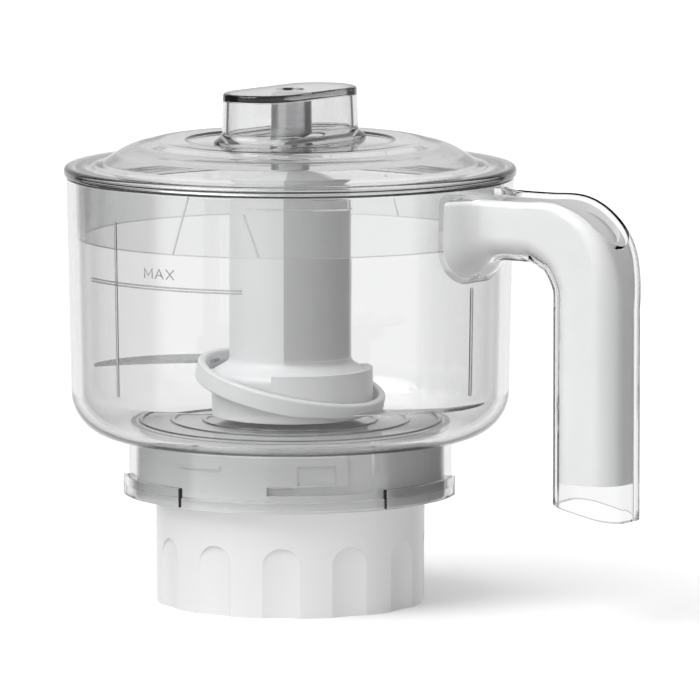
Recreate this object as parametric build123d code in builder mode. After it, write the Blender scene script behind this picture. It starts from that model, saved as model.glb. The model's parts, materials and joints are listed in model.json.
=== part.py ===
"""Compact food-processor bowl: clear bowl and lid, S-blade and planetary drive on a fluted collar.

Millimetres, +Z up. The origin is on the drive axis, in the plane of the collar's bottom edge.
The handle points along +X.
"""
from build123d import *
from math import acos, cos, pi, radians, sin, tan
import os

os.makedirs("parts", exist_ok=True)

# ---------------------------------------------------------------- driving dimensions
wall = 2.4                      # clear plastic wall
gap = 0.35                      # clearance between bodies that move
fit = 0.05                      # radial clearance of a running fit

collar_r, collar_h = 50.0, 40.0
socket_r, socket_depth = 45.0, 14.0
web_h = 3.0
flute_count, flute_r, flute_depth = 12, 28.0, 1.4
flute_width, flute_top, flute_phase = 14.0, 26.0, -0.6

housing_r, housing_wall = 57.4, 3.4
housing_z, housing_top = 40.3, 61.2
cover_h = 2.6
neck_r, neck_z = 60.1, 44.5     # clear skirt under the bowl
neck_wall = 2.0
ring_z = 40.3                   # bayonet ring under the neck
ring_r, lug_r, lug_top = 60.7, 62.3, 48.0
tab_z, tab_h, tab_half_angle = 47.0, 2.5, 4.5
tab_angles = (60, 180, 300)
unlock_angle = 30

bowl_z, floor_z, rim_z = 62.2, 65.0, 159.0
bowl_foot_r, bowl_rim_r = 81.5, 83.1
bowl_corner = 16.8
column_r, column_bore, column_top = 14.5, 10.8, 130.0
max_line_z = 124.5

lid_r, lid_top = 84.1, 162.8
skirt_r, skirt_wall, skirt_z = 79.7, 1.9, 136.6
crown_r, crown_z = 37.6, 171.7
knob_length, knob_width, knob_top = 64.0, 30.0, 191.0
knob_angle = 86.0
pin_r, pin_z = 7.2, 164.6

hub_r, hub_wall, hub_top = 22.7, 2.2, 157.0
hub_skirt_r, hub_skirt_z, hub_skirt_top = 29.0, 67.6, 86.0
blade_tip_r, blade_t = 73.0, 1.3
lower_blade_z, upper_blade_z = 72.0, 88.2
blade_angle = 33.0              # azimuth of the lower blade's tip

arm_top, arm_low = 157.8, 133.6
handle_width = 27.0
grip_inner, grip_outer = 119.0, 148.0
grip_low_inner, grip_low_outer = 46.6, 40.4
handle_wall = 2.2

module, pressure_angle = 1.25, radians(25)
sun_teeth, planet_teeth, ring_teeth = 12, 18, 48
backlash = 0.15
carrier_arm = module * (sun_teeth + planet_teeth) / 2
gear_z, gear_h = 30.5, 12.0
spindle_r, shaft_r = 5.0, 4.0


def turned(*points, radii):
    """A solid of revolution about Z from a closed half-section of (radius, height) points."""
    with BuildPart() as solid:
        with BuildSketch(Plane.XZ):
            with BuildLine():
                FilletPolyline(*points, radius=radii, close=True)
            make_face()
        revolve(axis=Axis.Z)
    return solid.part


def tube(outer, inner, low, high):
    """A plain ring about Z between two heights."""
    with BuildPart() as solid:
        with BuildSketch(Plane.XY.offset(low)):
            Circle(outer)
            Circle(inner, mode=Mode.SUBTRACT)
        extrude(amount=high - low)
    return solid.part


def sector(outer, inner, low, high, middle, half_angle):
    """A piece of a ring about Z, centred on an azimuth in degrees."""
    with BuildPart() as solid:
        with BuildSketch(Plane.XZ):
            with Locations(((outer + inner) / 2, (low + high) / 2)):
                Rectangle(outer - inner, high - low)
        revolve(axis=Axis.Z, revolution_arc=2 * half_angle)
    return solid.part.rotate(Axis.Z, middle - half_angle)


def save(part, label):
    """Name a finished piece and write it as one STEP file."""
    part.label = label
    export_step(part, f"parts/{label}.step")


# ---------------------------------------------------------------- base collar
with BuildPart() as base_collar:
    with BuildSketch():
        Circle(collar_r)
    extrude(amount=collar_h)
    fillet(base_collar.edges().group_by(Axis.Z)[-1], 1.2)
    with BuildSketch():
        Circle(socket_r)
    extrude(amount=socket_depth, mode=Mode.SUBTRACT)
    with BuildSketch(Plane.XY.offset(socket_depth + web_h)):
        Circle(collar_r - 2.6)
    extrude(amount=collar_h, mode=Mode.SUBTRACT)
    with BuildSketch():
        Circle(16)
    extrude(amount=collar_h, mode=Mode.SUBTRACT)
    # a groove under the web holds the rubber pad
    with BuildSketch(Plane.XY.offset(socket_depth)):
        Circle(socket_r - 1.45)
        Circle(37.95, mode=Mode.SUBTRACT)
    extrude(amount=0.85, mode=Mode.SUBTRACT)
    # three posts take the screws from the gear housing
    with BuildSketch(Plane.XY.offset(socket_depth + web_h)):
        with PolarLocations(43.2, 3, start_angle=30):
            Circle(4.6)
        with PolarLocations(43.2, 3, start_angle=30):
            Circle(1.5, mode=Mode.SUBTRACT)
    extrude(amount=collar_h - socket_depth - web_h)

with BuildPart() as flute:
    with BuildSketch(Plane.YZ.offset(collar_r - 5)):
        with BuildLine():
            Polyline((-flute_width / 2, flute_top - flute_width / 2), (-flute_width / 2, -1),
                     (flute_width / 2, -1), (flute_width / 2, flute_top - flute_width / 2))
            ThreePointArc((flute_width / 2, flute_top - flute_width / 2), (0, flute_top),
                          (-flute_width / 2, flute_top - flute_width / 2))
        make_face()
    extrude(amount=10)
    with BuildSketch():
        with Locations((collar_r + flute_r - flute_depth, 0)):
            Circle(flute_r)
    extrude(amount=collar_h, mode=Mode.INTERSECT)

with BuildPart() as fluted_collar:
    add(base_collar.part)
    for index in range(flute_count):
        add(flute.part.rotate(Axis.Z, flute_phase + index * 360 / flute_count), mode=Mode.SUBTRACT)
save(fluted_collar.part, "base_collar")

with BuildPart() as socket_pad:
    add(tube(socket_r - 1.5, 38.0, socket_depth + 0.05, socket_depth + 0.8))
save(socket_pad.part, "socket_pad")

# ---------------------------------------------------------------- gear housing
cup_r, cup_bore, cup_floor = 38.4, 36.2, 20.0
screw_head_z = 43.3
with BuildPart() as gear_housing:
    add(turned((9.1, cup_floor), (cup_r, cup_floor), (cup_r, housing_z), (housing_r, housing_z),
               (housing_r, housing_top - 0.1), (housing_r - housing_wall, housing_top - 0.1),
               (housing_r - housing_wall, screw_head_z), (cup_bore, screw_head_z),
               (cup_bore, cup_floor + 9.8), (cup_bore - 1.7, cup_floor + 9.8),
               (cup_bore - 1.7, cup_floor + 2.5), (12.0, cup_floor + 2.5),
               (12.0, cup_floor + 7.0), (9.1, cup_floor + 7.0),
               radii=[0, 0, 0, 0.8, 0.6, 0, 1.5, 0, 0, 0, 1.0, 1.0, 0.5, 0]))
    # posts for the cover's screws
    with BuildSketch(Plane.XY.offset(screw_head_z)):
        with PolarLocations(50.4, 4, start_angle=15):
            Circle(3.8)
    extrude(amount=housing_top - cover_h - 0.1 - screw_head_z)
    with BuildSketch(Plane.XY.offset(screw_head_z + 3)):
        with PolarLocations(50.4, 4, start_angle=15):
            Circle(1.3)
    extrude(amount=20, mode=Mode.SUBTRACT)
    # holes for the screws into the collar
    with BuildSketch(Plane.XY.offset(housing_z)):
        with PolarLocations(43.2, 3, start_angle=30):
            Circle(1.8)
    extrude(amount=3, mode=Mode.SUBTRACT)
    # bayonet grooves: a run to turn in, and an open way up at its end
    groove_r = housing_r - 1.9
    for middle in tab_angles:
        add(sector(housing_r + 1, groove_r, tab_z - gap, tab_z + tab_h + gap,
                   middle + unlock_angle / 2, unlock_angle / 2 + tab_half_angle + 0.8),
            mode=Mode.SUBTRACT)
        add(sector(housing_r + 1, groove_r, tab_z, housing_top + 1,
                   middle + unlock_angle, tab_half_angle + 0.8), mode=Mode.SUBTRACT)
    # moulded marks on the outside: a raised bar and a shallow window
    add(sector(housing_r + 0.4, housing_r - 1, 55.4, 57.0, -92, 9))
    add(sector(housing_r + 1, housing_r - 0.9, 50.6, 57.6, -47, 7.2), mode=Mode.SUBTRACT)
save(gear_housing.part, "gear_housing")

with BuildPart() as housing_cover:
    add(turned((9.1, housing_top), (9.1, 51.0), (12.0, 51.0), (12.0, housing_top - cover_h),
               (housing_r - housing_wall - 0.1, housing_top - cover_h),
               (housing_r - housing_wall - 0.1, housing_top),
               radii=[0, 0, 0.6, 1.5, 0, 0.5]))
    with BuildSketch(Plane.XY.offset(housing_top - cover_h)):
        with PolarLocations(50.4, 4, start_angle=15):
            Circle(1.7)
    extrude(amount=cover_h, mode=Mode.SUBTRACT)
    with BuildSketch(Plane.XY.offset(housing_top - 1.2)):
        with PolarLocations(50.4, 4, start_angle=15):
            Circle(3.1)
    extrude(amount=2, mode=Mode.SUBTRACT)
save(housing_cover.part, "housing_cover")


def screws(radius, count, start, head_z, head_r, head_h, shank_r, length):
    """Pan-head screws on a circle, heads up, as one group of solids."""
    with BuildPart() as group:
        with BuildSketch(Plane.XY.offset(head_z)):
            with PolarLocations(radius, count, start_angle=start):
                Circle(head_r)
        extrude(amount=head_h)
        chamfer(group.edges().group_by(Axis.Z)[-1], 0.4)
        with BuildSketch(Plane.XY.offset(head_z)):
            with PolarLocations(radius, count, start_angle=start):
                Circle(shank_r)
        extrude(amount=-length)
        with BuildSketch(Plane.XY.offset(head_z + head_h)):
            with PolarLocations(radius, count, start_angle=start):
                Rectangle(2.6, 0.6)
                Rectangle(0.6, 2.6)
        extrude(amount=-0.8, mode=Mode.SUBTRACT)
    return group.part


save(screws(43.2, 3, 30, screw_head_z + 0.02, 3.2, 1.8, 1.45, 14), "housing_screws")
save(screws(50.4, 4, 15, housing_top - 1.18, 2.9, 1.1, 1.25, 9), "cover_screws")

save(tube(9.08, shaft_r + fit, cup_floor + 0.1, cup_floor + 6.9), "input_bearing")
save(tube(9.08, spindle_r + fit, 51.1, housing_top - 1.3), "output_bearing")

with BuildPart() as shaft_seal:
    add(turned((spindle_r + fit, housing_top + 0.05), (9.6, housing_top + 0.05),
               (9.6, housing_top + 0.9), (7.2, housing_top + 0.9), (6.4, housing_top + 3.4),
               (spindle_r + fit, housing_top + 3.4), radii=[0, 0.3, 0.3, 0.3, 0.2, 0]))
save(shaft_seal.part, "shaft_seal")


# ---------------------------------------------------------------- gears
def tooth_outline(teeth, addendum, dedendum, thinning):
    """Closed involute outline of a gear centred on the origin, with a tooth on +X."""
    pitch_r = module * teeth / 2
    base_r = pitch_r * cos(pressure_angle)
    root_r, tip_r = pitch_r - dedendum, pitch_r + addendum
    half_tooth = pi / (2 * teeth) - thinning / (2 * pitch_r)
    pitch_inv = tan(pressure_angle) - pressure_angle
    start_r = max(base_r, root_r)
    steps = 4
    flank = []
    for step in range(steps + 1):
        radius = start_r + (tip_r - start_r) * step / steps
        roll = acos(min(1.0, base_r / radius))
        flank.append((radius, half_tooth + pitch_inv - (tan(roll) - roll)))
    root_angle = min(flank[0][1] * 1.04, pi / teeth * 0.92)
    one_side = ([(root_r, root_angle)] if root_r < start_r else []) + flank
    points = []
    for index in range(teeth):
        middle = 2 * pi * index / teeth
        for radius, angle in [(r, -a) for r, a in one_side] + one_side[::-1]:
            points.append((radius * cos(middle + angle), radius * sin(middle + angle)))
    return points


def spur(teeth, bore, low, height, turn=0.0):
    """A stub-tooth spur gear on Z with a plain bore."""
    with BuildPart() as gear:
        with BuildSketch(Plane.XY.offset(low)):
            with BuildLine():
                Polyline(*tooth_outline(teeth, 0.8 * module, 1.1 * module, backlash), close=True)
            make_face()
            Circle(bore, mode=Mode.SUBTRACT)
        extrude(amount=height)
    return gear.part.rotate(Axis.Z, turn)


with BuildPart() as ring_gear:
    with BuildSketch(Plane.XY.offset(gear_z - 0.6)):
        Circle(cup_bore - 0.06)
        with BuildLine():
            Polyline(*tooth_outline(ring_teeth, 1.1 * module, 0.8 * module, -backlash), close=True)
        make_face(mode=Mode.SUBTRACT)
    extrude(amount=gear_h + 0.8)
    # tooth spaces sit on the pitch of the outline, so half a pitch puts a tooth on +X
with BuildPart() as ring_gear_turned:
    add(ring_gear.part.rotate(Axis.Z, 180 / ring_teeth))
save(ring_gear_turned.part, "ring_gear")

save(spur(sun_teeth, shaft_r + 0.02, gear_z, gear_h), "sun_gear")
planet = spur(planet_teeth, 2.55, gear_z, gear_h, 180 / planet_teeth)
for index in range(3):
    placed = planet.moved(Location((carrier_arm, 0, 0))).rotate(Axis.Z, index * 120)
    save(placed, f"planet_gear_{index + 1}")

# ---------------------------------------------------------------- input shaft and coupling
with BuildPart() as drive_coupling:
    with BuildSketch(Plane.XY.offset(socket_depth + 0.6)):
        Circle(9.5)
        with PolarLocations(10.5, 6):
            Circle(2.4)
        Circle(shaft_r + 0.02, mode=Mode.SUBTRACT)
    extrude(amount=4.6)
    chamfer(drive_coupling.edges().group_by(Axis.Z)[0].filter_by(GeomType.CIRCLE), 0.3)
save(drive_coupling.part, "drive_coupling")

with BuildPart() as input_shaft:
    with BuildSketch(Plane.XY.offset(socket_depth + 0.8)):
        Circle(shaft_r)
    extrude(amount=gear_z + gear_h - 0.1 - socket_depth - 0.8)
    chamfer(input_shaft.edges().group_by(Axis.Z)[0], 0.5)
    chamfer(input_shaft.edges().group_by(Axis.Z)[-1], 0.5)
save(input_shaft.part, "input_shaft")


def circlip(inner, outer, low, thickness):
    """An open spring ring with a slot."""
    with BuildPart() as clip:
        with BuildSketch(Plane.XY.offset(low)):
            Circle(outer)
            Circle(inner, mode=Mode.SUBTRACT)
            with Locations((outer, 0)):
                Rectangle(outer, 2.4, mode=Mode.SUBTRACT)
        extrude(amount=thickness)
    return clip.part


save(circlip(shaft_r + 0.02, shaft_r + 2.2, cup_floor + 7.4, 0.8), "input_circlip")

# ---------------------------------------------------------------- carrier and spindle
carrier_z = gear_z + gear_h + 1.0
with BuildPart() as planet_carrier:
    add(turned((spindle_r + 0.02, carrier_z), (24.5, carrier_z), (24.5, carrier_z + 3.4),
               (9.0, carrier_z + 3.4), (9.0, carrier_z + 6.6), (spindle_r + 0.02, carrier_z + 6.6),
               radii=[0, 0.6, 0.6, 1.0, 0.6, 0]))
    with BuildSketch(Plane.XY.offset(carrier_z)):
        with PolarLocations(carrier_arm, 3):
            Circle(2.52)
        with PolarLocations(15.5, 3, start_angle=60):
            Circle(3.0)
    extrude(amount=4, mode=Mode.SUBTRACT)
save(planet_carrier.part, "planet_carrier")

with BuildPart() as planet_pins:
    with BuildSketch(Plane.XY.offset(gear_z - 0.4)):
        with PolarLocations(carrier_arm, 3):
            Circle(2.5)
    extrude(amount=carrier_z + 3.2 - gear_z + 0.4)
save(planet_pins.part, "planet_pins")

with BuildPart() as spindle:
    with BuildSketch(Plane.XY.offset(carrier_z + 0.1)):
        Circle(spindle_r)
    extrude(amount=column_top + 1 - carrier_z)
    with BuildSketch(Plane.XY.offset(column_top + 1)):
        RegularPolygon(4.9, 6, major_radius=True)
    extrude(amount=17)
    chamfer(spindle.edges().group_by(Axis.Z)[-1], 0.6)
save(spindle.part, "spindle")

# ---------------------------------------------------------------- bowl
def wall_r(height):
    """The outside radius of the bowl's tapered wall at a height."""
    return bowl_foot_r + (bowl_rim_r - bowl_foot_r) * (height - bowl_z) / (rim_z - bowl_z)


def rib(top, foot):
    """One thin mould rib standing on the outside of the wall, on the +X side."""
    with BuildPart() as strip:
        with BuildSketch(Plane.XZ):
            with BuildLine():
                Polyline((wall_r(top) - 1, top), (wall_r(top) + 0.45, top),
                         (wall_r(foot) + 0.45, foot + 1), (wall_r(foot) - 1, foot - 1), close=True)
            make_face()
        extrude(amount=0.6, both=True)
    return strip.part


with BuildPart() as bowl:
    inner_foot, inner_rim = bowl_foot_r - wall, bowl_rim_r - wall
    add(turned((bowl_rim_r, rim_z), (inner_rim, rim_z), (inner_foot, floor_z),
               (column_r, floor_z), (column_r - 1.6, column_top), (column_bore, column_top),
               (column_bore, bowl_z), (bowl_foot_r - 0.3, bowl_z),
               radii=[0.7, 0.7, bowl_corner - wall, 3.0, 0.8, 0, 0, bowl_corner]))
    # raised steps on the floor around the column
    for ridge_r in (32.0, 44.0, 56.0):
        add(tube(ridge_r + 0.8, ridge_r - 0.8, floor_z - 0.2, floor_z + 0.7))
    # three mould ribs down the wall and the raised fill line
    for middle, top, foot in ((-3, 122, 83), (-107, 147, 83), (107, 147, 83)):
        add(rib(top, foot).rotate(Axis.Z, middle))
    fill_r = wall_r(max_line_z)
    for lift in (-1.0, 1.0):
        add(sector(fill_r + 0.35, fill_r - 0.8, max_line_z + lift - 0.3, max_line_z + lift + 0.3,
                   -94, 25))
save(bowl.part, "bowl")

with BuildPart() as neck_skirt:
    add(tube(neck_r, neck_r - neck_wall, neck_z, bowl_z - 0.02))
    for middle in tab_angles:
        add(sector(neck_r - neck_wall + 0.5, groove_r + gap, tab_z, tab_z + tab_h, middle,
                   tab_half_angle))
save(neck_skirt.part, "neck_skirt")

with BuildPart() as bayonet_ring:
    add(turned((neck_r - neck_wall, ring_z), (ring_r, ring_z), (ring_r, neck_z - 0.02),
               (neck_r - neck_wall, neck_z - 0.02), radii=[0.5, 0.8, 0.5, 0.3]))
    for middle in (0, 120, 240):
        add(sector(lug_r, neck_r + 0.02, ring_z + 0.6, lug_top, middle, 22))
save(bayonet_ring.part, "bayonet_ring")

save(tube(column_bore - 0.06, spindle_r + fit, column_top - 12, column_top - 1), "column_bearing")


# ---------------------------------------------------------------- handle
bend_x, bend_z = grip_inner - 12.0, arm_low - 12.0     # centre the bend turns about
bend_r = 12.0                                          # inside of the bend
arm_depth = arm_top - bend_z


def handle_section(plane, half, inner, outer, inner_edge, outer_edge):
    """One closed cross-section: across Y, and from the handle's inside out from the bend centre."""
    with BuildSketch(plane) as section:
        with BuildLine():
            FilletPolyline((-half, inner), (half, inner), (half, outer), (-half, outer),
                           radius=[inner_edge, inner_edge, outer_edge, outer_edge], close=True)
        make_face()
    return section.sketch


def grip_core(inset, top, foot):
    """The straight grip between two heights, moved in on every side by inset."""
    with BuildPart() as grip:
        plane = Plane(origin=(bend_x, 0, top), x_dir=(0, 1, 0), z_dir=(0, 0, -1))
        add(handle_section(plane, handle_width / 2 - inset, bend_r + inset, grip_outer - bend_x - inset,
                           9.5 - inset, 9.5 - inset / 2))
        extrude(amount=top - foot, dir=(0, 0, -1))
    return grip.part


def handle_core(inset, foot):
    """The flare on the bowl, arm, bend and grip in one form, moved in on every side by inset."""
    half = handle_width / 2
    # distance along X, half width, lowest point and lower edge radius, from the bowl outwards
    flare = ((74, 22.5, 123.0, 16), (83, 21.0, 124.6, 16), (86, 18.0, 127.6, 14.5), (90, 15.0, 131.2, 12),
             (95, 13.7, 133.3, 10), (101, half, arm_low, 9.5), (bend_x - 2, half, arm_low, 9.5))
    # angle round the bend, reach of the outside, outer edge radius
    bend = ((0, 0.0, 3.0), (18, 2.2, 3.4), (36, 4.6, 4.4), (54, 5.9, 6.0), (72, 5.6, 8.0), (90, 4.9, 9.4))
    with BuildPart() as arm:
        for x, width, low, edge in flare:
            plane = Plane(origin=(x, 0, bend_z), x_dir=(0, 1, 0), z_dir=(1, 0, 0))
            add(handle_section(plane, width - inset, low - bend_z + inset, arm_depth - inset,
                               edge - inset, 3.0 - inset / 2))
        loft()
    with BuildPart() as elbow:
        before = Plane(origin=(bend_x - 2, 0, bend_z), x_dir=(0, 1, 0), z_dir=(1, 0, 0))
        add(handle_section(before, half - inset, bend_r + inset, arm_depth - inset,
                           9.5 - inset, 3.0 - inset / 2))
        for turn, reach, edge in bend:
            angle = radians(turn)
            plane = Plane(origin=(bend_x, 0, bend_z), x_dir=(0, 1, 0), z_dir=(cos(angle), 0, -sin(angle)))
            add(handle_section(plane, half - inset, bend_r + inset, arm_depth + reach - inset,
                               9.5 - inset, edge - inset / 2))
        for drop in (3, 8):
            plane = Plane(origin=(bend_x, 0, bend_z - drop), x_dir=(0, 1, 0), z_dir=(0, 0, -1))
            add(handle_section(plane, half - inset, bend_r + inset, grip_outer - bend_x - inset,
                               9.5 - inset, 9.5 - inset / 2))
        loft()
    with BuildPart() as whole:
        add(arm.part)
        add(elbow.part)
        add(grip_core(inset, bend_z - 8, foot))
    return whole.part


with BuildPart() as bowl_shadow:
    with BuildSketch(Plane.XZ):
        with BuildLine():
            Polyline((0, 0), (bowl_foot_r + 0.02, 0), (bowl_foot_r + 0.02, bowl_z),
                     (bowl_rim_r + 0.02, rim_z), (bowl_rim_r + 0.02, 200), (0, 200), close=True)
        make_face()
    revolve(axis=Axis.Z)


def mouth(half, end):
    """The open top of the arm, running over the bend to a round spoon-shaped end."""
    plane = Plane(origin=(bend_x + 35.4, 0, bend_z + 35.4), x_dir=(0.7071, 0, -0.7071),
                  z_dir=(0.7071, 0, 0.7071))
    with BuildPart() as opening:
        with BuildSketch(plane):
            with BuildLine():
                Polyline((end - 9, -half * 0.88), (-10, -half), (-44, -half), (-44, half), (-10, half),
                         (end - 9, half * 0.88))
                ThreePointArc((end - 9, half * 0.88), (end, 0), (end - 9, -half * 0.88))
            make_face()
        extrude(amount=-24)
        with BuildSketch(Plane.XY.offset(arm_top - 9)):
            with Locations((90, 0)):
                Rectangle(50, 2 * half)
        extrude(amount=14)
    return opening.part


with BuildPart() as handle_shell:
    add(handle_core(0, 36))
    # the grip's end is cut on a slant, lower at its outside
    with BuildSketch(Plane.XZ):
        with BuildLine():
            Polyline((100, 20), (170, 20), (170, grip_low_outer - 4.7), (grip_outer, grip_low_outer),
                     (grip_inner, grip_low_inner), (100, grip_low_inner + 4.06), close=True)
        make_face()
    extrude(amount=30, both=True, mode=Mode.SUBTRACT)
    add(handle_core(handle_wall, 30), mode=Mode.SUBTRACT)
    add(mouth(handle_width / 2 - handle_wall, 12.6), mode=Mode.SUBTRACT)
    add(bowl_shadow.part, mode=Mode.SUBTRACT)
save(handle_shell.part, "handle_shell")

liner_inset, liner_wall, tray_floor, sleeve_foot = handle_wall + 0.15, 1.8, 108.0, 54.0
with BuildPart() as handle_liner:
    # a white tray in the arm, and under its floor a sleeve down the grip, open at its foot
    add(handle_core(liner_inset, sleeve_foot))
    add(handle_core(liner_inset + liner_wall, tray_floor), mode=Mode.SUBTRACT)
    add(grip_core(liner_inset + liner_wall, tray_floor - liner_wall, sleeve_foot - 1), mode=Mode.SUBTRACT)
    add(mouth(handle_width / 2 - liner_inset - liner_wall, 9.6), mode=Mode.SUBTRACT)
    add(bowl_shadow.part, mode=Mode.SUBTRACT)
save(handle_liner.part, "handle_liner")

# ---------------------------------------------------------------- lid
lid_wall = 2.2


def knob_outline(inset, low, height, flare=0.0):
    """An oval block on Z, its long axis at the knob's azimuth."""
    with BuildPart() as block:
        with BuildSketch(Plane.XY.offset(low).rotated((0, 0, knob_angle))):
            SlotOverall(knob_length - 2 * inset, knob_width - 2 * inset)
        extrude(amount=height, taper=flare)
    return block.part


with BuildPart() as lid:
    add(turned((0, crown_z), (crown_r, crown_z), (crown_r + 1.2, crown_z + 0.8), (50, crown_z + 0.8),
               (61, 170.0), (71.5, 162.9), (lid_r, lid_top), (lid_r, rim_z + 0.05),
               (skirt_r, rim_z + 0.05), (skirt_r - 0.5, skirt_z), (skirt_r - 0.5 - skirt_wall, skirt_z),
               (skirt_r - skirt_wall, rim_z + 1.4), (71.5, 160.6), (60, 167.6),
               (49.5, crown_z + 0.8 - lid_wall), (crown_r + 1.5, crown_z + 0.8 - lid_wall),
               (crown_r, crown_z - lid_wall), (0, crown_z - lid_wall),
               radii=[0, 0.6, 0.6, 14, 26, 9, 1.7, 1.2, 0, 0.5, 0.5, 1.2, 7, 24, 12, 0.6, 0.6, 0]))
    # the knob's hollow opens downwards through the crown
    add(knob_outline(lid_wall, crown_z - 6, 12), mode=Mode.SUBTRACT)
    # three small catches inside the skirt, under the rim
    for middle in (-46, 74, 194):
        add(sector(skirt_r - skirt_wall + 0.2, skirt_r - skirt_wall - 1.3, 154.4, 157.6, middle, 4.8))
save(lid.part, "lid")

with BuildPart() as lid_knob:
    add(knob_outline(0, crown_z + 0.02, knob_top - crown_z, 1.5))
    fillet(lid_knob.edges().group_by(Axis.Z)[-1], 1.2)
    add(knob_outline(-3.0, crown_z + 0.02, 2.4, 45))
    add(knob_outline(lid_wall, crown_z - 1, knob_top - crown_z - 2.6, 1.5), mode=Mode.SUBTRACT)
    with BuildSketch(Plane.XY.offset(knob_top)):
        Circle(5.2)
    extrude(amount=-0.8, mode=Mode.SUBTRACT)
save(lid_knob.part, "lid_knob")

with BuildPart() as centre_pin:
    add(turned((0, pin_z), (pin_r, pin_z), (pin_r - 0.2, knob_top - 3.65), (pin_r - 2.0, knob_top - 3.65),
               (pin_r - 1.8, pin_z + 1.8), (0, pin_z + 1.8), radii=[0, 1.0, 0, 0, 0.8, 0]))
save(centre_pin.part, "centre_pin")

# ---------------------------------------------------------------- blade hub
with BuildPart() as blade_hub:
    bore = hub_r - hub_wall
    add(turned((hub_skirt_r, hub_skirt_z), (hub_skirt_r + 0.6, hub_skirt_top),
               (hub_r, hub_skirt_top + 4.0), (hub_r - 0.2, hub_top), (bore - 0.2, hub_top),
               (bore, hub_skirt_top + 1.5), (hub_skirt_r - 2.2, hub_skirt_top - 2.5),
               (hub_skirt_r - 2.6, hub_skirt_z),
               radii=[0.6, 3.0, 3.0, 0.4, 0, 2.0, 2.0, 0.6]))
    # raised block round one side of the skirt, and a raised panel along the tube
    add(sector(hub_skirt_r + 1.7, hub_skirt_r - 1.5, 75.2, 87.4, blade_angle - 41, 62))
    add(sector(hub_r + 0.9, hub_r - 0.6, hub_skirt_top + 6, hub_top - 3, blade_angle - 59, 37))
save(blade_hub.part, "blade_hub")

strap_tilt = 13.5
strap_middle = (lower_blade_z + upper_blade_z) / 2 + 0.5
strap_plane = Plane(origin=(0, 0, strap_middle)).rotated((0, strap_tilt, blade_angle))
with BuildPart() as blade_strap:
    with BuildSketch(strap_plane.offset(-3.5)):
        Ellipse(35.6, 34.4)
        Ellipse(hub_skirt_r + 3.7, hub_skirt_r + 2.1, mode=Mode.SUBTRACT)
    extrude(amount=7.0)
    fillet(blade_strap.edges().filter_by(GeomType.ELLIPSE), 0.9)
save(blade_strap.part, "blade_strap")


def sickle(height, azimuth):
    """A sickle blade: convex back, hollow cutting edge and a bevel, root beside the hub."""
    outward = (cos(radians(azimuth)), sin(radians(azimuth)), 0)
    plane = Plane(origin=(0, 0, height - blade_t / 2), x_dir=outward, z_dir=(0, 0, 1))
    with BuildPart() as blade:
        with BuildSketch(plane):
            with BuildLine():
                ThreePointArc((23, -26.5), (55, -21.5), (blade_tip_r, 1.5))
                ThreePointArc((blade_tip_r, 1.5), (52, -7.5), (29, -10.0))
                Line((29, -10.0), (23, -26.5))
            make_face()
        extrude(amount=blade_t)
    return blade.part


upper_blade = sickle(upper_blade_z, blade_angle + 180)
lower_blade = sickle(lower_blade_z, blade_angle)
save(upper_blade, "upper_blade")
save(lower_blade, "lower_blade")

with BuildPart() as drive_socket:
    with BuildSketch(Plane.XY.offset(column_top + 1.6)):
        Circle(bore - 0.25)
        RegularPolygon(4.96, 6, major_radius=True, mode=Mode.SUBTRACT)
    extrude(amount=17)
    with BuildSketch(Plane.XY.offset(column_top + 1.6)):
        with PolarLocations(12.4, 6, start_angle=30):
            Circle(3.6)
    extrude(amount=14, mode=Mode.SUBTRACT)
save(drive_socket.part, "drive_socket")

with BuildPart() as hub_cap:
    cap_r, cap_z, cap_rise = hub_r - 0.2, hub_top + 0.05, 6.2
    dome_r = (cap_r ** 2 + cap_rise ** 2) / (2 * cap_rise)
    with BuildSketch(Plane.XZ):
        with BuildLine():
            Line((0, cap_z), (cap_r, cap_z))
            RadiusArc((cap_r, cap_z), (0, cap_z + cap_rise), -dome_r)
            Line((0, cap_z + cap_rise), (0, cap_z))
        make_face()
    revolve(axis=Axis.Z)
    with BuildSketch(Plane.XY.offset(cap_z - 4)):
        Circle(bore - 0.3)
        Circle(bore - 2.0, mode=Mode.SUBTRACT)
    extrude(amount=4.5)
save(hub_cap.part, "hub_cap")
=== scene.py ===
"""Food processor on its geared collar: clear bowl, lid and knob, their moulded marks, and a white studio."""

import json
from math import cos, pi, radians, sin, sqrt, tan

import bmesh
import bpy
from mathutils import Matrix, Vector


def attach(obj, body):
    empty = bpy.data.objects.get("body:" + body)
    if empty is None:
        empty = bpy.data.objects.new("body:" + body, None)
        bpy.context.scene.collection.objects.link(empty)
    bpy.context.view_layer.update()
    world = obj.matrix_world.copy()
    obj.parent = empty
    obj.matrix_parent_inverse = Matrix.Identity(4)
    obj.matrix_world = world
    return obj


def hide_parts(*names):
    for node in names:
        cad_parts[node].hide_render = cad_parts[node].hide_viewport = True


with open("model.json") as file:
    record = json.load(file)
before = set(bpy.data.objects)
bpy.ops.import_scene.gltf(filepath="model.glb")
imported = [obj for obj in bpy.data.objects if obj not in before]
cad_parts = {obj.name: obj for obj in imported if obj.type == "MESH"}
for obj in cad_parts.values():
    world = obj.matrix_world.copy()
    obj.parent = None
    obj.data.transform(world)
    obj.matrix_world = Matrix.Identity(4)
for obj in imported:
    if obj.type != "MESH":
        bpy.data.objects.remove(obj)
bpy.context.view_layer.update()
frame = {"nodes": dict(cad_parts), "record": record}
MM = 0.001
segments = 256

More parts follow.
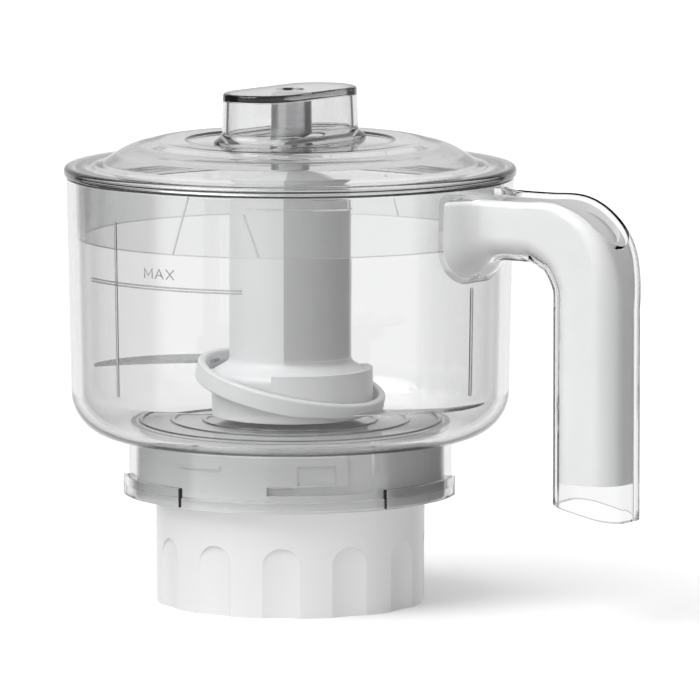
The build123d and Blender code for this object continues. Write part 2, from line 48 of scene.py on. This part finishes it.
# the frame's driving dimensions that these pieces follow, in mm
wall = 2.4
bowl_z, floor_z, rim_z = 62.2, 65.0, 159.0
bowl_foot_r, bowl_rim_r, bowl_corner = 81.5, 83.1, 16.8
column_r, column_bore, column_top = 14.5, 10.8, 130.0
ridge_radii = (56, 44, 32)
lid_r, lid_top, lid_wall = 84.1, 162.8, 2.2
skirt_r, skirt_wall, skirt_z = 79.7, 1.9, 136.6
crown_r, crown_z = 37.6, 171.7
knob_length, knob_width, knob_top, knob_angle = 64.0, 30.0, 191.0, 86.0

# what is only looked at, in mm and degrees round the axis
max_line_z, max_line_azimuth, max_line_reach = 124.5, -94, 25
word_azimuth, word_z, letter_height, stroke_r = -92, max_line_z + 3.6, 3.4, 0.24
mark_low, mark_high = 83, 147
# where the hub's painted shade lies: between these two azimuths, and higher than this height over the hub's
# lowest point
painted_shade_start, painted_shade_end, painted_shade_foot = -62.5, 11, 24
skirt_mark_azimuths = (-76.5, 103.5)
catch_azimuths = (-46, 74, 194)
catch_reach = 4.8
view_azimuth = 33


# ------------------------------------------------------------------ materials
def new_material(name):
    """A material with an empty Principled shader, and its tree."""
    material = bpy.data.materials.new(name)
    material.use_nodes = True
    tree = material.node_tree
    return material, tree, tree.nodes["Principled BSDF"]


def noise(tree, scale, detail=2.0, stretch=(1, 1, 1)):
    """Object-space noise, so that it stays on the piece as it moves."""
    coords = tree.nodes.new("ShaderNodeTexCoord")
    mapping = tree.nodes.new("ShaderNodeMapping")
    mapping.inputs["Scale"].default_value = stretch
    texture = tree.nodes.new("ShaderNodeTexNoise")
    texture.inputs["Scale"].default_value = scale
    texture.inputs["Detail"].default_value = detail
    tree.links.new(coords.outputs["Object"], mapping.inputs["Vector"])
    tree.links.new(mapping.outputs["Vector"], texture.inputs["Vector"])
    return texture.outputs["Fac"]


def mapped(tree, source, low, high, start=0.0, end=1.0):
    """The source's start to end taken to low to high."""
    ramp = tree.nodes.new("ShaderNodeMapRange")
    ramp.inputs["From Min"].default_value = start
    ramp.inputs["From Max"].default_value = end
    ramp.inputs["To Min"].default_value = low
    ramp.inputs["To Max"].default_value = high
    tree.links.new(source, ramp.inputs["Value"])
    return ramp.outputs["Result"]


def combined(tree, operation, first, second):
    """Two values joined by one arithmetic step."""
    node = tree.nodes.new("ShaderNodeMath")
    node.operation = operation
    tree.links.new(first, node.inputs[0])
    tree.links.new(second, node.inputs[1])
    return node.outputs["Value"]


def mixed(tree, source, first, second):
    """A colour between two, each a colour or a link, by the source."""
    mix = tree.nodes.new("ShaderNodeMix")
    mix.data_type = "RGBA"
    for socket, colour in ((mix.inputs[6], first), (mix.inputs[7], second)):
        if isinstance(colour, tuple):
            socket.default_value = (*colour, 1)
        else:
            tree.links.new(colour, socket)
    tree.links.new(source, mix.inputs["Factor"])
    return mix.outputs[2]


def bump(tree, shader, source, depth, strength):
    """A fine relief from the source."""
    node = tree.nodes.new("ShaderNodeBump")
    node.inputs["Distance"].default_value = depth
    node.inputs["Strength"].default_value = strength
    tree.links.new(source, node.inputs["Height"])
    tree.links.new(node.outputs["Normal"], shader.inputs["Normal"])


def moulded_surface(name, light, dark, rough):
    """Opaque moulded plastic, its tree, shader and colour: faint mottling, satin gloss and a fine texture."""
    material, tree, shader = new_material(name)
    cloud, fine = noise(tree, 18, 4), noise(tree, 900)
    colour = mixed(tree, cloud, light, dark)
    tree.links.new(colour, shader.inputs["Base Color"])
    tree.links.new(mapped(tree, fine, rough - 0.05, rough + 0.08), shader.inputs["Roughness"])
    bump(tree, shader, fine, 0.00003, 0.25)
    return material, tree, shader, colour


def moulded(name, light, dark, rough):
    """The material alone of a moulded surface."""
    return moulded_surface(name, light, dark, rough)[0]


def with_painted_shade(name, light, dark, rough, shade_colour, low):
    """Moulded plastic with painted shade: a darker sector up one side, above the height low, standing in for
    the shade of flat facets that the round hub does not have.
    """
    material, tree, shader, colour = moulded_surface(name, light, dark, rough)
    coords = tree.nodes.new("ShaderNodeTexCoord")
    round_axis = tree.nodes.new("ShaderNodeTexGradient")
    round_axis.gradient_type = "RADIAL"
    tree.links.new(coords.outputs["Object"], round_axis.inputs["Vector"])
    height = tree.nodes.new("ShaderNodeSeparateXYZ")
    tree.links.new(coords.outputs["Object"], height.inputs["Vector"])
    start, end = (0.5 + azimuth / 360 for azimuth in (painted_shade_start, painted_shade_end))
    angle = round_axis.outputs["Fac"]
    across = combined(tree, "MULTIPLY", mapped(tree, angle, 0, 1, start - 0.001, start + 0.001),
                      mapped(tree, angle, 1, 0, end - 0.001, end + 0.001))
    up = mapped(tree, height.outputs["Z"], 0, 1, low, low + 0.001)
    painted_shade_mask = combined(tree, "MULTIPLY", across, up)
    tree.links.new(mixed(tree, painted_shade_mask, colour, shade_colour), shader.inputs["Base Color"])
    return material


def clear(name, tint, rough, ior, density=0.0):
    """Clear moulded plastic that lets lamps through to what it holds, and greys with its depth."""
    material, tree, shader = new_material(name)
    shader.inputs["Transmission Weight"].default_value = 1.0
    shader.inputs["IOR"].default_value = ior
    flow = noise(tree, 9)
    tree.links.new(mixed(tree, flow, tint, tuple(c * 0.985 for c in tint)), shader.inputs["Base Color"])
    tree.links.new(mapped(tree, flow, rough, rough + 0.015), shader.inputs["Roughness"])
    through = tree.nodes.new("ShaderNodeBsdfTransparent")
    through.inputs["Color"].default_value = (*[c * 0.96 for c in tint], 1)
    path = tree.nodes.new("ShaderNodeLightPath")
    mix = tree.nodes.new("ShaderNodeMixShader")
    tree.links.new(path.outputs["Is Shadow Ray"], mix.inputs["Fac"])
    tree.links.new(shader.outputs["BSDF"], mix.inputs[1])
    tree.links.new(through.outputs["BSDF"], mix.inputs[2])
    tree.links.new(mix.outputs["Shader"], tree.nodes["Material Output"].inputs["Surface"])
    if density:
        depth = tree.nodes.new("ShaderNodeVolumeAbsorption")
        depth.inputs["Color"].default_value = (0.1, 0.1, 0.1, 1)
        depth.inputs["Density"].default_value = density
        tree.links.new(depth.outputs["Volume"], tree.nodes["Material Output"].inputs["Volume"])
    return material


def metal(name, light, dark, rough, stretch):
    """Ground or turned metal: fine scratches along one direction."""
    material, tree, shader = new_material(name)
    lines = noise(tree, 300, 3, stretch)
    shader.inputs["Metallic"].default_value = 1.0
    tree.links.new(mixed(tree, lines, light, dark), shader.inputs["Base Color"])
    tree.links.new(mapped(tree, lines, rough - 0.06, rough + 0.1), shader.inputs["Roughness"])
    bump(tree, shader, lines, 0.00002, 0.3)
    return material


def rubber(name):
    """Matt black rubber."""
    material, tree, shader = new_material(name)
    grain = noise(tree, 1200)
    colour = mixed(tree, grain, (0.03, 0.03, 0.032), (0.06, 0.06, 0.062))
    tree.links.new(colour, shader.inputs["Base Color"])
    tree.links.new(mapped(tree, grain, 0.6, 0.8), shader.inputs["Roughness"])
    bump(tree, shader, grain, 0.00004, 0.4)
    return material


hub_low = min(corner.co.z for corner in frame["nodes"]["blade_hub"].data.vertices)
finishes = {
    "clear_plastic": clear("clear_plastic", (0.972, 0.974, 0.974), 0.0, 1.55, 27),
    "white_plastic": moulded("white_plastic", (0.70, 0.70, 0.70), (0.67, 0.67, 0.675), 0.34),
    # painted shade: the hub's finish is darker in one sector round the axis, in place of the shade on flat
    # facets
    "hub_plastic": with_painted_shade("hub_plastic", (0.73, 0.73, 0.735), (0.69, 0.69, 0.70), 0.38,
                            (0.43, 0.43, 0.435), hub_low + painted_shade_foot * MM),
    "gear_plastic": moulded("gear_plastic", (0.70, 0.68, 0.63), (0.64, 0.62, 0.56), 0.45),
    "blade_steel": metal("blade_steel", (0.58, 0.58, 0.59), (0.44, 0.44, 0.45), 0.24, (1, 1, 1)),
    "shaft_steel": metal("shaft_steel", (0.58, 0.58, 0.59), (0.46, 0.46, 0.47), 0.28, (0.2, 0.2, 4)),
    "bearing_bronze": metal("bearing_bronze", (0.56, 0.40, 0.20), (0.42, 0.29, 0.14), 0.42, (1, 1, 1)),
    "seal_rubber": rubber("seal_rubber"),
}
for part in frame["record"]["subparts"]:
    node = frame["nodes"][part["node"]]
    node.data.materials.clear()
    node.data.materials.append(finishes[part["material_slot"]])
# the housing takes a shaded copy of the white, its mottle reaching a little darker, as painted shade under
# the bowl; the handle bends light less than a real plastic does
shaded_housing_white = moulded("shaded_housing_white", (0.70, 0.70, 0.705), (0.66, 0.66, 0.665), 0.34)
frame["nodes"]["gear_housing"].data.materials[0] = shaded_housing_white
soft_clear = clear("soft_clear_plastic", (0.980, 0.982, 0.982), 0.0, 1.2, 12)
frame["nodes"]["handle_shell"].data.materials[0] = soft_clear
frosted = clear("frosted_marks", (0.70, 0.70, 0.71), 0.2, 1.4)


# ------------------------------------------------------------------ shapes, in mm
def rounded(corners):
    """A profile from (radius, height, edge radius) corners, its edges turned into arcs."""
    spots = [Vector(corner[:2]) for corner in corners]
    path = []
    for index, (here, corner) in enumerate(zip(spots, corners)):
        if corner[2] == 0:
            path.append(tuple(here))
            continue
        before = (spots[index - 1] - here).normalized()
        after = (spots[(index + 1) % len(spots)] - here).normalized()
        half = before.angle(after) / 2
        centre = here + (before + after).normalized() * corner[2] / sin(half)
        start = here + before * corner[2] / tan(half) - centre
        end = here + after * corner[2] / tan(half) - centre
        steps = 3 + int((pi - 2 * half) / radians(12))
        for step in range(steps + 1):
            path.append(tuple(centre + start.lerp(end, step / steps).normalized() * corner[2]))
    return path


def circle(reach):
    """A round outline."""
    return lambda turn: reach


def oval(reach):
    """The knob's outline, reach out from the line between its two end centres."""
    middle = (knob_length - knob_width) / 2

    def radius(turn):
        side = abs(sin(turn - radians(knob_angle)))
        along = abs(cos(turn - radians(knob_angle)))
        if reach * along <= middle * side:
            return reach / side
        return middle * along + sqrt(reach ** 2 - (middle * side) ** 2)
    return radius


def turned(rows):
    """Rings of (outline, height) joined in order and back to the first; None is a point on the axis."""
    points, faces, rings = [], [], []
    for outline, height in rows:
        if outline is None:
            rings.append([len(points)] * segments)
            points.append((0, 0, height))
            continue
        ring = []
        for step in range(segments):
            turn = 2 * pi * step / segments
            ring.append(len(points))
            points.append((outline(turn) * cos(turn), outline(turn) * sin(turn), height))
        rings.append(ring)
    for low, high in zip(rings, rings[1:] + rings[:1]):
        for step in range(segments):
            after = (step + 1) % segments
            faces.append(list(dict.fromkeys((low[step], low[after], high[after], high[step]))))
    return points, faces


def bead(path, radius):
    """A thin rounded bead along (radius, azimuth, height) points, closed at both ends."""
    spots = [Vector((r * cos(radians(a)), r * sin(radians(a)), z)) for r, a, z in path]
    rows = []
    for index, spot in enumerate(spots):
        along = (spots[min(index + 1, len(spots) - 1)] - spots[max(index - 1, 0)]).normalized()
        out = Vector((spot.x, spot.y, 0)).normalized()
        out = (out - along * out.dot(along)).normalized()
        if index == 0:
            rows.append((spot - along * radius * 0.7, along, out, radius * 0.6))
        rows.append((spot, along, out, radius))
        if index == len(spots) - 1:
            rows.append((spot + along * radius * 0.7, along, out, radius * 0.6))
    sides = 12
    points, faces = [], []
    for spot, along, out, reach in rows:
        for side in range(sides):
            turn = 2 * pi * side / sides
            points.append(tuple(spot + (out * cos(turn) + along.cross(out) * sin(turn)) * reach))
    for row in range(len(rows) - 1):
        for side in range(sides):
            after = (side + 1) % sides
            base = row * sides
            faces.append([base + side, base + after, base + sides + after, base + sides + side])
    faces.append(list(range(sides)))
    faces.append([(len(rows) - 1) * sides + side for side in range(sides)])
    return points, faces


def piece(name, body, slot_name, *parts, finish=None):
    """One smooth piece from lists of points and faces, riding a body."""
    points, faces = [], []
    for part_points, part_faces in parts:
        start = len(points)
        points += part_points
        faces += [[index + start for index in face] for face in part_faces]
    mesh = bpy.data.meshes.new(name)
    mesh.from_pydata([Vector(point) * MM for point in points], [], faces)
    form = bmesh.new()
    form.from_mesh(mesh)
    bmesh.ops.recalc_face_normals(form, faces=form.faces)
    for face in form.faces:
        face.smooth = True
    for edge in form.edges:
        edge.smooth = edge.calc_face_angle(0) < radians(32)
    form.to_mesh(mesh)
    form.free()
    mesh.materials.append(finish or finishes[slot_name])
    thing = bpy.data.objects.new(name, mesh)
    bpy.context.collection.objects.link(thing)
    thing.modifiers.new("even_normals", "WEIGHTED_NORMAL").keep_sharp = True
    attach(thing, body)
    return thing


# ------------------------------------------------------------------ bowl
def wall_r(height):
    """The outside radius of the bowl's tapered wall at a height."""
    return bowl_foot_r + (bowl_rim_r - bowl_foot_r) * (height - bowl_z) / (rim_z - bowl_z)


def ridge(middle):
    """A low raised ring on the bowl's floor."""
    return [(middle + 0.9, floor_z, 0.25), (middle + 0.8, floor_z + 0.7, 0.25),
            (middle - 0.8, floor_z + 0.7, 0.25), (middle - 0.9, floor_z, 0.25)]


def lathe(corners):
    """A closed round solid from a profile's corners."""
    return turned([(circle(reach), height) for reach, height in rounded(corners)])


bowl_form = lathe([(bowl_rim_r, rim_z, 0.7), (bowl_rim_r - wall, rim_z, 0.7),
                   (bowl_foot_r - wall, floor_z, bowl_corner - wall),
                   *(corner for middle in ridge_radii for corner in ridge(middle)),
                   (column_r, floor_z, 3.0), (column_r - 1.6, column_top, 0.8), (column_bore, column_top, 0),
                   (column_bore, bowl_z, 0), (bowl_foot_r - 0.3, bowl_z, bowl_corner)])
bowl_piece = piece("clear_bowl", "bowl", "clear_plastic", bowl_form)
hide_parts("bowl")


def up_wall(azimuth, low, high, radius):
    """A straight bead up the outside of the bowl's wall."""
    return bead([(wall_r(z), azimuth, z) for z in (low, (low + high) / 2, high)], radius)


def along_wall(height, start, end, radius):
    """A level bead round the outside of the bowl's wall."""
    count = 40
    return bead([(wall_r(height), start + (end - start) * step / count, height)
                 for step in range(count + 1)], radius)


def lettering(strokes, left):
    """A letter's strokes on the bowl's wall: right and up in mm, from left of the word's azimuth."""
    beads = []
    for stroke in strokes:
        path = [(wall_r(word_z + up), word_azimuth + (left + right) / radians(bowl_rim_r), word_z + up)
                for right, up in stroke]
        beads.append(bead(path, stroke_r))
    return beads


letter_m = [[(0, 0), (0, letter_height), (1.8, 0.9), (3.6, letter_height), (3.6, 0)]]
letter_a = [[(0, 0), (1.75, letter_height), (3.5, 0)], [(0.6, 1.1), (2.9, 1.1)]]
letter_x = [[(0, 0), (3.2, letter_height)], [(0, letter_height), (3.2, 0)]]
word = lettering(letter_m, -6.7) + lettering(letter_a, -1.7) + lettering(letter_x, 3.2)
line_start, line_end = max_line_azimuth - max_line_reach, max_line_azimuth + max_line_reach
piece("bowl_marks", "bowl", "clear_plastic",
      up_wall(-107, mark_low, mark_high, 0.55), up_wall(107, mark_low, mark_high, 0.55),
      up_wall(-3, mark_low, max_line_z - 2.5, 0.7),
      along_wall(max_line_z + 0.5, line_start, line_end, 0.3),
      along_wall(max_line_z - 0.5, line_start, line_end, 0.3), *word, finish=frosted)

# ------------------------------------------------------------------ lid
knob_half = knob_width / 2
hole = knob_half - lid_wall
lid_profile = rounded([
    (hole, crown_z, 0), (crown_r, crown_z, 0.6), (crown_r + 1.2, crown_z + 0.8, 0.6), (50, crown_z + 0.8, 14),
    (61, 170.0, 26), (71.5, 162.9, 9), (lid_r, lid_top, 1.7), (lid_r, rim_z + 0.05, 1.2),
    (skirt_r, rim_z + 0.05, 0), (skirt_r - 0.5, skirt_z, 0.5), (skirt_r - 0.5 - skirt_wall, skirt_z, 0.5),
    (skirt_r - skirt_wall, rim_z + 1.4, 1.2), (71.5, 160.6, 7), (60, 167.6, 24),
    (49.5, crown_z + 0.8 - lid_wall, 12), (crown_r + 1.5, crown_z + 0.8 - lid_wall, 0.6),
    (crown_r, crown_z - lid_wall, 0.6), (hole, crown_z - lid_wall, 0)])
lid_rows = [(oval(reach) if reach == hole else circle(reach), height) for reach, height in lid_profile]


def on_skirt(path, radius):
    """A bead on the outside of the lid's skirt along (azimuth, height) points."""
    spots = []
    for (first, low), (second, high) in zip(path, path[1:]):
        for step in range(12):
            share = step / 12
            spots.append((first + (second - first) * share, low + (high - low) * share))
    spots.append(path[-1])
    return bead([(skirt_r - 0.5 * (rim_z - height) / (rim_z - skirt_z), azimuth, height)
                 for azimuth, height in spots], radius)


def catch(middle):
    """A small catch inside the skirt, under the rim."""
    inner, outer = skirt_r - skirt_wall - 1.3, skirt_r - skirt_wall + 0.3
    points, faces = [], []
    for step in range(9):
        turn = radians(middle - catch_reach + step * catch_reach / 4)
        for reach, height in ((inner, 154.4), (outer, 154.0), (outer, 158.0), (inner, 157.6)):
            points.append((reach * cos(turn), reach * sin(turn), height))
    for step in range(8):
        for side in range(4):
            base, after = step * 4, (side + 1) % 4
            faces.append([base + side, base + after, base + 4 + after, base + 4 + side])
    faces += [[0, 1, 2, 3], [32, 33, 34, 35]]
    return points, faces


skirt_marks = [catch(middle) for middle in catch_azimuths]
for middle in skirt_mark_azimuths:
    skirt_marks += [on_skirt([(middle - 7.5, 158), (middle - 12.2, skirt_z + 0.8)], 0.3),
                    on_skirt([(middle + 7.9, 152.5), (middle + 11.6, skirt_z + 0.8)], 0.3),
                    on_skirt([(middle + 8.4, 154.6), (middle + 36, 154.6)], 0.3)]
lid_piece = piece("clear_lid", "lid", "clear_plastic", turned(lid_rows), *skirt_marks)
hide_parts("lid")

knob_profile = rounded([
    (hole, crown_z + 0.02, 0), (knob_half + 3.0, crown_z + 0.02, 0.4), (knob_half + 2.6, crown_z + 1.4, 0.5),
    (knob_half, crown_z + 3.2, 3.2), (knob_half - 0.5, knob_top, 1.1), (knob_half - 4, knob_top, 0)])
knob_rows = [(oval(reach), height) for reach, height in knob_profile]
knob_rows += [(circle(5.4), knob_top), (circle(5.1), knob_top - 0.3), (circle(4.8), knob_top - 0.8),
              (None, knob_top - 0.8)]
knob_under = [(None, knob_top - 2.6)]
knob_under += [(oval(reach), height) for reach, height in
               ((knob_half - 4, knob_top - 2.6), (knob_half - 3.6, knob_top - 2.6),
                (knob_half - 3.0, knob_top - 2.8), (knob_half - 2.7, knob_top - 3.4),
                (hole, crown_z + 0.5))]
knob_piece = piece("clear_knob", "lid", "clear_plastic", turned(knob_rows[1:] + knob_under + knob_rows[:1]))
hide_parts("lid_knob")


# ------------------------------------------------------------------ studio
def stage():
    """A pale floor that runs out of sight. Clear pieces show the white ground of the sky in its place."""
    reach = 8.0
    corners = [(-reach, -reach, 0), (reach, -reach, 0), (reach, reach, 0), (-reach, reach, 0)]
    mesh = bpy.data.meshes.new("studio_floor")
    mesh.from_pydata(corners, [], [(0, 1, 2, 3)])
    floor = bpy.data.objects.new("studio_floor", mesh)
    bpy.context.collection.objects.link(floor)
    material, tree, shader = new_material("studio_floor")
    tree.links.new(mixed(tree, noise(tree, 3), (0.95, 0.95, 0.95), (0.94, 0.94, 0.94)),
                   shader.inputs["Base Color"])
    shader.inputs["Roughness"].default_value = 0.95
    shader.inputs["Specular IOR Level"].default_value = 0.05
    shader.inputs["Emission Color"].default_value = (1, 1, 1, 1)
    shader.inputs["Emission Strength"].default_value = 0.08
    mesh.materials.append(material)
    floor.visible_glossy = False
    floor.visible_transmission = False


def sky(light, ground, dark, spread, half_width):
    """An even sky over white ground, with two dark flags, one to each side of the viewing direction."""
    world = bpy.data.worlds.new("studio_sky")
    bpy.context.scene.world = world
    world.use_nodes = True
    tree = world.node_tree
    coords = tree.nodes.new("ShaderNodeTexCoord")
    level = tree.nodes.new("ShaderNodeVectorMath")
    level.operation = "MULTIPLY"
    level.inputs[1].default_value = (1, 1, 0)
    flat = tree.nodes.new("ShaderNodeVectorMath")
    flat.operation = "NORMALIZE"
    tree.links.new(coords.outputs["Generated"], level.inputs[0])
    tree.links.new(level.outputs["Vector"], flat.inputs[0])
    flags = []
    for side in (-spread, spread):
        towards = radians(view_azimuth - 90 + side)
        dot = tree.nodes.new("ShaderNodeVectorMath")
        dot.operation = "DOT_PRODUCT"
        dot.inputs[1].default_value = (cos(towards), sin(towards), 0)
        tree.links.new(flat.outputs["Vector"], dot.inputs[0])
        flags.append(mapped(tree, dot.outputs["Value"], 0, 1, cos(radians(half_width + 3)),
                            cos(radians(half_width - 3))))
    height = tree.nodes.new("ShaderNodeSeparateXYZ")
    tree.links.new(coords.outputs["Generated"], height.inputs["Vector"])
    steep = tree.nodes.new("ShaderNodeMath")
    steep.operation = "ABSOLUTE"
    tree.links.new(height.outputs["Z"], steep.inputs[0])
    low = mapped(tree, steep.outputs["Value"], 1, 0, 0.5, 0.75)
    flag = combined(tree, "MULTIPLY", combined(tree, "MAXIMUM", *flags), low)
    background = tree.nodes["Background"]
    background.inputs["Color"].default_value = (1, 1, 1, 1)
    base = mapped(tree, height.outputs["Z"], ground, light, -0.01, 0.01)
    kept = combined(tree, "MULTIPLY", base, mapped(tree, flag, 1, dark))
    tree.links.new(kept, background.inputs["Strength"])


def towards_view(azimuth, elevation):
    """The direction from the object to a viewer or a lamp."""
    a, e = radians(azimuth), radians(elevation)
    return Vector((sin(a) * cos(e), -cos(a) * cos(e), sin(e)))


def sun(name, azimuth, elevation, spread, power):
    """A very soft sun that shines on the object from an azimuth and elevation."""
    light = bpy.data.lights.new(name, "SUN")
    light.energy, light.angle = power, radians(spread)
    holder = bpy.data.objects.new(name, light)
    away = towards_view(azimuth, elevation)
    holder.location = away * 2
    holder.rotation_euler = (-away).to_track_quat("-Z", "Y").to_euler()
    bpy.context.collection.objects.link(holder)


def camera(azimuth, elevation, distance, aside, height, lens):
    """A long lens at the viewing angle, aimed beside the axis by aside."""
    right = radians(azimuth)
    target = Vector((cos(right) * aside, sin(right) * aside, height))
    data = bpy.data.cameras.new("studio_camera")
    data.lens, data.sensor_width = lens, 36.0
    data.clip_end = 50
    holder = bpy.data.objects.new("studio_camera", data)
    holder.location = target + distance * towards_view(azimuth, elevation)
    holder.rotation_euler = (target - holder.location).to_track_quat("-Z", "Y").to_euler()
    bpy.context.collection.objects.link(holder)
    bpy.context.scene.camera = holder


stage()
sky(light=0.74, ground=1.05, dark=0.16, spread=108, half_width=33)
sun("key_sun", -25, 50, 50, 2.0)
sun("fill_sun", 80, 15, 60, 0.12)
scene = bpy.context.scene
scene.view_settings.view_transform = "Standard"
scene.cycles.max_bounces = 24
scene.cycles.transmission_bounces = 24
scene.cycles.transparent_max_bounces = 32
camera(view_azimuth, elevation=7.1, distance=3.35, aside=0.0222, height=0.0935, lens=463)
